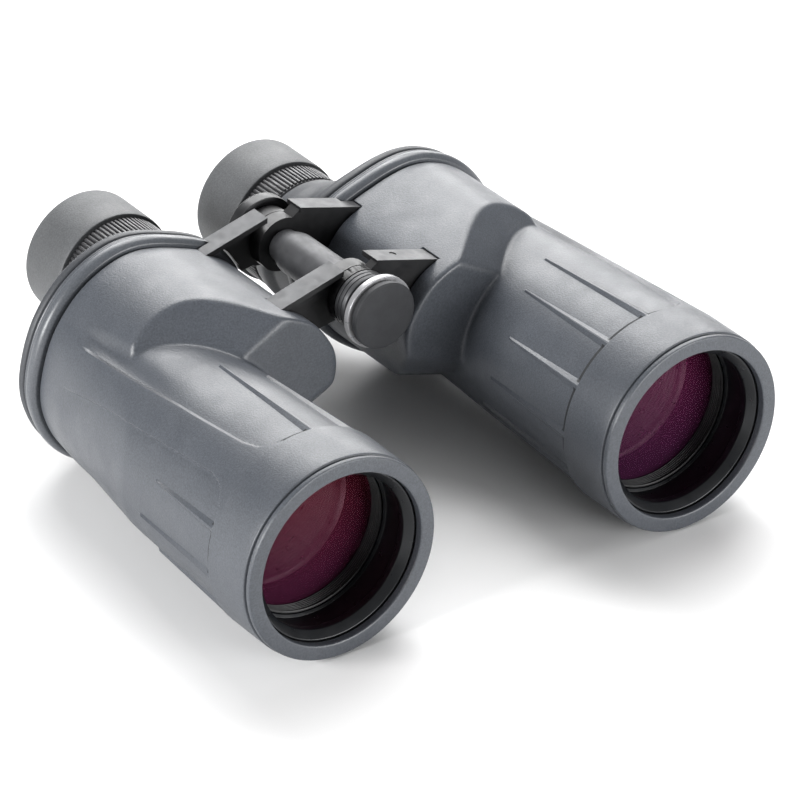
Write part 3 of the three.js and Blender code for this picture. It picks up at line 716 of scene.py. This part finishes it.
# ---- rear cover and bead -------------------------------------------------------------------------
def outline_ring(inset_by):
    """The housing's outline moved inwards, as evenly spaced points."""
    curve = OUTLINE_CURVE
    along = np.roll(curve, -1, 0) - np.roll(curve, 1, 0)
    along /= np.linalg.norm(along, axis=1, keepdims=True)
    sign = 1 if np.cross(curve[1] - curve[0], curve.mean(0) - curve[0]) > 0 else -1
    moved = curve + sign * np.stack((-along[:, 1], along[:, 0]), 1) * inset_by
    moved = blur(moved, 4, 0, True)
    closed = np.concatenate((moved, moved[:1]))
    length = np.concatenate(([0], np.cumsum(np.linalg.norm(np.diff(closed, axis=0), axis=1))))
    at = np.arange(OUTLINE_SIDES) / OUTLINE_SIDES * length[-1]
    return np.stack((np.interp(at, length, closed[:, 0]), np.interp(at, length, closed[:, 1])), 1)


def lifted(ring, y):
    """A ring of x and z at one distance behind the rims."""
    return np.stack((ring[:, 0], np.full(len(ring), y), ring[:, 1]), 1)


def cover_bead(half):
    section = rounded([
        (1.1, 129.9, 0), (-1.0, 129.8, 0.5), (-2.35, 131.2, 1.0), (-2.5, 133.3, 1.0), (-1.5, 134.4, 0.6),
        (-1.45, 134.9, 0.3), (-1.7, 135.5, 0.4), (-0.9, 136.2, 0.4), (0.9, 136.1, 0),
    ], 4)
    rows = np.array([lifted(outline_ring(depth), y) for depth, y in section])
    obj = piece(f"bead_{half}", rows, wrapped_faces(len(rows), OUTLINE_SIDES, True),
                MATERIALS["bead_rubber"], half, sharp=50)
    mount(obj, f"{half}_half", "bead_rubber", f"cover_bead_{half}")


def cover_ring(y, inset_by, radius, roundness, least):
    """A section of the dome: the outline drawn in towards a circle about the eyepiece axis."""
    ring = outline_ring(inset_by)
    away = ring - EYEPIECE
    reach = np.linalg.norm(away, axis=1, keepdims=True)
    drawn = reach + (radius - reach) * roundness
    drawn = drawn + np.maximum(least - drawn, 0) * smoothstep(*COVER_WIDENS, y)
    return lifted(EYEPIECE + away / reach * drawn, y)


def rear_cover(half):
    outer = np.array([
        (129.9, 1.5, 24, 0), (135.9, 1.4, 24, 0), (136.3, -0.6, 24, 0), (137.2, -1.6, 24, 0),
        (139.5, -1.4, 24, 0.01), (143, 0.9, 24, 0.12), (148, 5.2, 23.2, 0.5), (152.5, 7.6, 22, 0.87),
        (156, 8, 20.7, 0.98), (158.3, 8, 20.1, 1),
    ])
    inner = np.array([
        (156.6, 8, 18.2, 1), (152, 9.6, 20, 0.87), (147, 7.4, 21, 0.5), (142, 4.2, 22, 0.12),
        (137.8, 3.8, 22, 0), (136, 3.8, 22, 0), (129.9, 3.5, 22, 0),
    ])
    dense = catmull_rom(outer, 8, closed=False)
    rows = [cover_ring(y * MM, d * MM, r * MM, blend, 18.9 * MM) for y, d, r, blend in dense]
    rows.append(cover_ring(COVER_END, 8 * MM, 19.7 * MM, 1, 0))
    rows.append(cover_ring(COVER_END, 8 * MM, 18.6 * MM, 1, 0))
    rows += [cover_ring(y * MM, d * MM, r * MM, blend, 17.4 * MM) for y, d, r, blend in inner]
    obj = piece(f"cover_{half}", np.array(rows), wrapped_faces(len(rows), OUTLINE_SIDES, True),
                MATERIALS["cover_rubber"], half, sharp=40)
    mount(obj, f"{half}_half", "armour_rubber", f"rear_cover_{half}")


# ---- eyepiece ------------------------------------------------------------------------------------
def focus_ring(half):
    """The knurled ring: rounded teeth between two plain edges, and a floor with a bore."""
    teeth, per_tooth, depth = 84, 8, 0.7 * MM
    angle = np.arange(teeth * per_tooth) / (teeth * per_tooth) * 2 * math.pi
    wave = 0.5 + 0.5 * np.cos(angle * teeth)
    tooth = depth * smoothstep(0.12, 0.62, wave)
    root = RING_RADIUS - depth
    profile = [
        (root - 0.5 * MM, 160, 0), (root, 160.35, 0), (root, 160.6, 0), (root, 160.75, 0.85),
        (root, 161.1, 1), (root, 165.5, 1), (root, 170.4, 1), (root, 170.75, 0.85),
        (root, 170.85, 0), (root, 170.9, 0), (root - 0.4 * MM, 171, 0), (16.2 * MM, 171, 0),
        (16.2 * MM, 169.8, 0), (17.8 * MM, 169.8, 0), (17.8 * MM, 160, 0),
    ]
    rows = [ring_points(EYEPIECE, radius + tooth * share, angle, y * MM) for radius, y, share in profile]
    obj = piece(f"knurled_ring_{half}", np.array(rows), wrapped_faces(len(rows), len(angle), True),
                MATERIALS["knurl_metal"], half, sharp=28)
    mount(obj, f"{half}_focus_ring", "black_metal", f"focus_ring_{half}")


def eyecup(half):
    cup = CUP_RADIUS / MM
    profile = rounded([
        (cup - 2, 171.3, 0.2), (cup - 0.3, 171.35, 0.4), (cup - 0.1, 173, 0.5), (cup, 189.7, 0.8),
        (cup - 0.35, 191, 0.6), (cup - 1.6, 191, 0.6), (cup - 2.1, 188.6, 0.8), (cup - 3.2, 181, 0.8),
        (16.9, 179.6, 0.5), (16.9, 175.2, 0.3), (19.2, 175.0, 0.3), (19.2, 171.3, 0.2),
    ], 4)
    obj = turned(f"cup_{half}", profile, EYEPIECE, MATERIALS["cup_rubber"], half, 160, 40)
    mount(obj, f"{half}_focus_ring", "cup_rubber", f"eyecup_{half}")


# ---- objective -----------------------------------------------------------------------------------
def objective_cell(half):
    """The cell: a chamfered lip, a wide black stretch behind it, and the seat of the lenses."""
    profile = rounded([
        (27.6, 2.8, 0.2), (27.6, 20, 0), (26.8, 20, 0), (26.8, 21.6, 0), (27.6, 21.6, 0), (27.6, 33.6, 0),
        (24.6, 33.6, 0), (24.6, 32.4, 0), (25.7, 32.4, 0), (25.7, 16.2, 0), (26.7, 16.0, 0.15),
        (26.7, 8, 0.3), (24.9, 7.4, 0.4), (24.9, 5.0, 0.25), (27.1, 2.75, 0.2),
    ], 3)
    obj = turned(f"cell_{half}", profile, OBJECTIVE, MATERIALS["cell_metal"], half, 160)
    mount(obj, f"{half}_half", "black_metal", f"objective_cell_{half}")


def baffle_tube(half):
    """The threaded tube behind the lenses, which keeps stray light down."""
    front, rear, pitch = 34.0, 76.0, 1.4
    bore = []
    for y in np.arange(rear - 0.5, front + pitch, -pitch):
        root = 24.6 - 1.2 * (y - front) / (rear - front)
        bore += [(root - 0.6, y, 0), (root, y - 0.5, 0), (root - 0.6, y - pitch + 0.1, 0)]
    profile = rounded([(25.2, front, 0), (24.2, rear, 0)] + bore)
    # the threads get the pale metal: painted highlights seen through the lens
    obj = turned(f"baffle_{half}", profile, OBJECTIVE, MATERIALS["thread_glint_metal"], half, 128)
    mount(obj, f"{half}_half", "black_metal")


def retaining_ring(half):
    """The threaded ring that holds the lenses in, with fine steps round its bore."""
    bore = []
    for i in range(6):
        y = 21.0 - 0.75 * i
        bore += [(24.95, y, 0), (25.15, y - 0.12, 0), (25.15, y - 0.5, 0)]
    profile = rounded([(25.4, 16.4, 0.15), (25.4, 21.2, 0)] + bore + [(24.7, 16.6, 0.15)], 3)
    obj = turned(f"retainer_{half}", profile, OBJECTIVE, MATERIALS["baffle_black"], half, 160)
    mount(obj, f"{half}_half", "black_metal", f"objective_retaining_ring_{half}")


def lens_profile(rim, front_at, front_radius, rear_at, rear_radius, steps=28):
    """Closed profile in mm between two spherical faces; a negative radius bulges backwards."""
    height = np.linspace(0, rim, steps)

    def face(at, radius):
        sag = abs(radius) - np.sqrt(radius * radius - height * height)
        return np.stack((height, at + math.copysign(1, radius) * sag), 1)

    return np.concatenate((face(front_at, front_radius), face(rear_at, rear_radius)[::-1])) * MM


def objective_lenses(half):
    crown = lens_profile(25.35, 18.8, 110, 26.6, -95)
    flint = lens_profile(25.35, 27.0, -95, 31.2, -400)
    obj = turned(f"crown_lens_{half}", crown, OBJECTIVE, MATERIALS[f"lens_{half}"], half, 160, 40)
    mount(obj, f"{half}_half", "coated_glass", f"objective_crown_lens_{half}")
    obj = turned(f"flint_lens_{half}", flint, OBJECTIVE, MATERIALS["inner_glass"], half, 160, 40)
    mount(obj, f"{half}_half", "coated_glass", f"objective_flint_lens_{half}")


def eyepiece_glass(half):
    eye = lens_profile(14.2, 168.6, 48, 174, -160)
    ring_profile = rounded([
        (14.4, 175.1, 0.1), (14.4, 176.6, 0), (16.4, 176.6, 0.1), (16.4, 178, 0.25), (12.8, 178, 0.3),
        (12.6, 175.1, 0.1),
    ], 3)
    obj = turned(f"rear_lens_{half}", eye, EYEPIECE, MATERIALS["eye_glass"], half, 128, 40)
    mount(obj, f"{half}_ocular", "clear_glass", f"eye_lens_{half}")
    obj = turned(f"rear_lens_ring_{half}", ring_profile, EYEPIECE, MATERIALS["black_metal"], half, 128)
    mount(obj, f"{half}_ocular", "black_metal", f"eye_lens_ring_{half}")


# ---- hinge ---------------------------------------------------------------------------------------
def hinge_piece(name, corners, material, body, slot, node):
    obj = turned(name, rounded(corners, 4), np.zeros(2), MATERIALS[material], None, 160)
    mount(obj, body, slot, node)


def hinge_stack():
    hinge_piece("hinge_cap", [
        (0, 70.25, 0), (10.6, 70.2, 0.15), (10.92, 70.45, 0.15), (10.92, 72.4, 0.2),
        (10.3, 72.7, 0.2), (3.05, 72.7, 0), (3.05, 81, 0.3), (0, 81.5, 0),
    ], "cap_metal", "socket_cap", "cap_metal", "socket_cap")
    hinge_piece("hinge_flange", [
        (3.4, 73.1, 0), (7, 73.1, 0), (7, 74.2, 0), (9, 74.2, 0), (9, 73.1, 0), (11.86, 73.1, 0.3),
        (11.86, 75.2, 0.35), (6, 75.3, 0), (6, 83.3, 0), (4.2, 83.3, 0), (4.2, 91.6, 0), (3.4, 91.6, 0),
    ], "bright_metal", "right_half", "steel", "tripod_socket")
    hinge_piece("hinge_front_washer", [
        (6.3, 75.6, 0), (8.2, 75.6, 0.2), (8.2, 78.2, 0.2), (6.3, 78.2, 0),
    ], "baffle_black", "right_half", "black_metal", "front_washer")
    grooves = []
    for y in (79.9, 81.6):
        grooves += [(9.6, y, 0.08), (9.25, y + 0.1, 0), (9.25, y + 0.3, 0), (9.6, y + 0.4, 0.08)]
    hinge_piece("hinge_front_collar", [(6.3, 78.5, 0), (9.3, 78.5, 0.35)] + grooves + [
        (9.6, 83.3, 0.3), (6.3, 83.3, 0)], "tube_metal", "right_half", "black_metal", "hinge_collar")
    hinge_piece("hinge_barrel", [
        (4.8, 92.6, 0), (7.4, 92.6, 0.3), (7.05, 94.2, 0.6), (7, 118.6, 2.4), (5.6, 122.4, 1.2),
        (5.4, 124.7, 0.2), (4.8, 124.7, 0),
    ], "tube_metal", "right_half", "black_metal", "hinge_tube")
    hinge_piece("hinge_rear_nut", [
        (4.8, 136.2, 0), (9, 136.2, 0.2), (10.2, 135.1, 0.2), (11.6, 135.1, 0.3), (11.6, 139.2, 0.4),
        (11, 139.8, 0.3), (0, 139.8, 0), (0, 137.7, 0), (4.8, 137.7, 0),
    ], "black_metal", "right_half", "black_metal", "rear_nut")


def hinge_arm(which, half):
    """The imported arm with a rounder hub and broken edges."""
    node = f"{which}_hinge_arm_{half}"
    obj = bpy.data.objects.new(f"{which}_arm_{half}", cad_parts[node].data.copy())
    bpy.context.scene.collection.objects.link(obj)
    weld(obj)
    radius, spans = HUBS[which]
    front, rear = spans[half]
    outer = radius + 0.02
    hub = rounded([(HUB_BORE, front, 0), (outer, front, 0), (outer, rear, 0), (HUB_BORE, rear, 0)])
    boolean(obj, turned("hub_rounding", hub, np.zeros(2), MATERIALS["arm_metal"], None, 128), "UNION")
    mesh = bmesh.new()
    mesh.from_mesh(obj.data)
    bmesh.ops.dissolve_limit(mesh, angle_limit=math.radians(1), verts=mesh.verts, edges=mesh.edges)
    mesh.to_mesh(obj.data)
    mesh.free()
    obj.data.materials.clear()
    for finish in ("arm_metal", "arm_top_lit_metal", "bright_metal"):
        obj.data.materials.append(MATERIALS[finish])
    # upward flat faces take the lighter copy, painted light on the tops of the arms
    for face in obj.data.polygons:
        face.material_index = 1 if face.normal.z > 0.9 and face.area > FLAT_AREA else 0
    # the bevels take the bright metal: painted highlights along the arms' edges
    bevel = obj.modifiers.new("edges", "BEVEL")
    bevel.material = 2
    bevel.width = 0.16 * MM
    bevel.segments = 2
    bevel.limit_method = "ANGLE"
    bevel.angle_limit = math.radians(32)
    apply_modifiers(obj)
    obj.data.shade_smooth()
    obj.data.set_sharp_from_angle(angle=math.radians(30))
    low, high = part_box("arm_set_screw")
    screw = (Vector(low) + Vector(high)) / 2
    for face in obj.data.polygons:
        face.use_smooth = face.area < FLAT_AREA
        if (face.center - screw).length < 2 * MM and face.area < FLAT_AREA:
            face.material_index = 0
    mount(obj, f"{half}_half", "black_metal", node)


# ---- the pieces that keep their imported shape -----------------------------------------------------
KEPT_FINISH = {
    "body_casting": "baffle_black", "prism_shelf": "cast_body", "front_prism": "clear_glass",
    "rear_prism": "clear_glass", "front_prism_clip": "steel", "rear_prism_clip": "steel",
    "eyepiece_tube": "black_metal", "ocular_cell": "black_metal", "field_lens": "clear_glass",
    "arm_set_screw": "baffle_black", "objective_o_ring": "seal_rubber", "hinge_axle": "steel",
    "rear_washer": "steel", "cap_o_ring": "seal_rubber",
}


def finish_kept_nodes():
    for name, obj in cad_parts.items():
        base = name.removesuffix("_left").removesuffix("_right")
        if base in KEPT_FINISH:
            obj.data.materials.clear()
            obj.data.materials.append(MATERIALS[KEPT_FINISH[base]])


# ---- camera, light and floor ---------------------------------------------------------------------
CAMERA_PLACE = Vector((-0.74791, -1.05401, 0.76827))
CAMERA_AZIMUTH = math.radians(-36.245)
CAMERA_ELEVATION = math.radians(30.06)
CAMERA_ROLL = math.radians(1.363)
CAMERA_LENS = 216.8                          # focal length in mm on a 36 mm sensor


def add_camera():
    data = bpy.data.cameras.new("camera")
    data.sensor_width = 36
    data.lens = CAMERA_LENS
    obj = bpy.data.objects.new("camera", data)
    bpy.context.scene.collection.objects.link(obj)
    back = Vector((
        math.sin(CAMERA_AZIMUTH) * math.cos(CAMERA_ELEVATION),
        -math.cos(CAMERA_AZIMUTH) * math.cos(CAMERA_ELEVATION),
        math.sin(CAMERA_ELEVATION),
    ))
    level = (-back).cross(Vector((0, 0, 1))).normalized()
    up = level.cross(-back)
    right = math.cos(CAMERA_ROLL) * level + math.sin(CAMERA_ROLL) * up
    top = math.cos(CAMERA_ROLL) * up - math.sin(CAMERA_ROLL) * level
    rotation = Matrix((right, top, back)).transposed().to_4x4()
    obj.matrix_world = Matrix.Translation(CAMERA_PLACE) @ rotation
    bpy.context.scene.camera = obj


def softbox(name, place, target, size, power):
    data = bpy.data.lights.new(name, "AREA")
    data.shape = "RECTANGLE"
    data.size, data.size_y = size
    data.energy = power
    obj = bpy.data.objects.new(name, data)
    bpy.context.scene.collection.objects.link(obj)
    obj.location = place
    obj.rotation_euler = (Vector(target) - Vector(place)).to_track_quat("-Z", "Y").to_euler()


def add_studio():
    floor = bpy.data.meshes.new("floor")
    floor.from_pydata([(-6, -6, 0), (6, -6, 0), (6, 6, 0), (-6, 6, 0)], [], [(0, 1, 2, 3)])
    obj = bpy.data.objects.new("floor", floor)
    bpy.context.scene.collection.objects.link(obj)
    paint = Nodes("floor_paint")
    paint.colour(paint.ramp(paint.noise(3), [(0, (0.86, 0.86, 0.86)), (1, (0.88, 0.88, 0.88))]))
    paint.set(Roughness=0.9, Specular_IOR_Level=0.1)
    floor.materials.append(paint.material)
    world = bpy.data.worlds.new("studio")
    world.use_nodes = True
    sky = world.node_tree.nodes["Background"]
    sky.inputs["Color"].default_value = (1, 1, 1, 1)
    sky.inputs["Strength"].default_value = 0.28
    bpy.context.scene.world = world
    softbox("key", (0.45, 0.35, 0.85), (0, 0, 0.04), (0.6, 0.6), 9)
    softbox("back_top", (0.18, 0.75, 0.75), (0, 0, 0.05), (0.5, 0.4), 7)
    softbox("right_back", (0.8, 0.85, 0.42), (0, 0, 0.04), (0.7, 0.35), 7)
    softbox("left", (-1.2, 0.05, 0.42), (0, 0, 0.03), (0.6, 0.35), 22)
    softbox("front", (0.5, -1.3, 0.22), (0, 0, 0.04), (0.9, 0.4), 18)
    bpy.context.scene.view_settings.view_transform = "Standard"


for side in HALVES:
    armour(side)
    cover_bead(side)
    rear_cover(side)
    focus_ring(side)
    eyecup(side)
    objective_cell(side)
    baffle_tube(side)
    retaining_ring(side)
    objective_lenses(side)
    eyepiece_glass(side)
    for place in ARMS:
        hinge_arm(place, side)
hinge_stack()
finish_kept_nodes()
add_camera()
add_studio()
